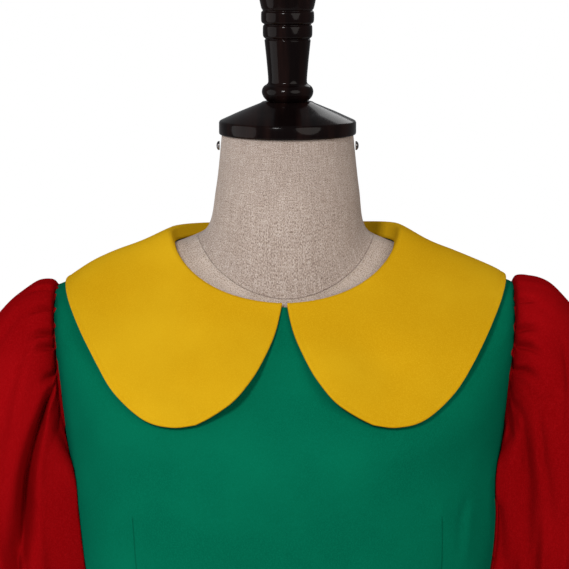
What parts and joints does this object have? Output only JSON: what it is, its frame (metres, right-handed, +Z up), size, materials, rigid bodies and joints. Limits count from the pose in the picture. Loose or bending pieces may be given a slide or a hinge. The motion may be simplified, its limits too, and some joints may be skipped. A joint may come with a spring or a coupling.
{
  "type": "costume dress on dress form",
  "caption": "Short dress with a flat collar of rounded lobes and gathered puff sleeves in cuff bands, on a limbless linen dress form with a turned neck cap, pole and round foot.",
  "frame": {"origin": "centre of the stand foot's underside, on the floor", "axes": "+Z up, -Y the front of the dress, +X the wearer's left"},
  "size_m": [0.5601, 0.4017, 1.6173],
  "materials": {
    "green_cloth": "smooth satin weave with a soft sheen",
    "yellow_cloth": "smooth satin weave with a soft sheen",
    "red_cloth": "soft matte crepe",
    "linen": "coarse flecked linen",
    "dark_wood": "gloss lacquer, near black",
    "steel": "plain"
  },
  "bodies": {
    "root": {"dress_front": "green_cloth", "dress_back_left": "green_cloth", "dress_back_right": "green_cloth", "collar_left": "yellow_cloth", "collar_right": "yellow_cloth", "sleeve_left": "red_cloth", "sleeve_right": "red_cloth", "cuff_left": "red_cloth", "cuff_right": "red_cloth", "neck_screw_left": "steel", "neck_screw_right": "steel", "form_torso": "linen", "neck_cap": "dark_wood", "finial": "dark_wood", "stand_foot": "dark_wood", "stand_pole": "dark_wood"}
  },
  "joints": []
}
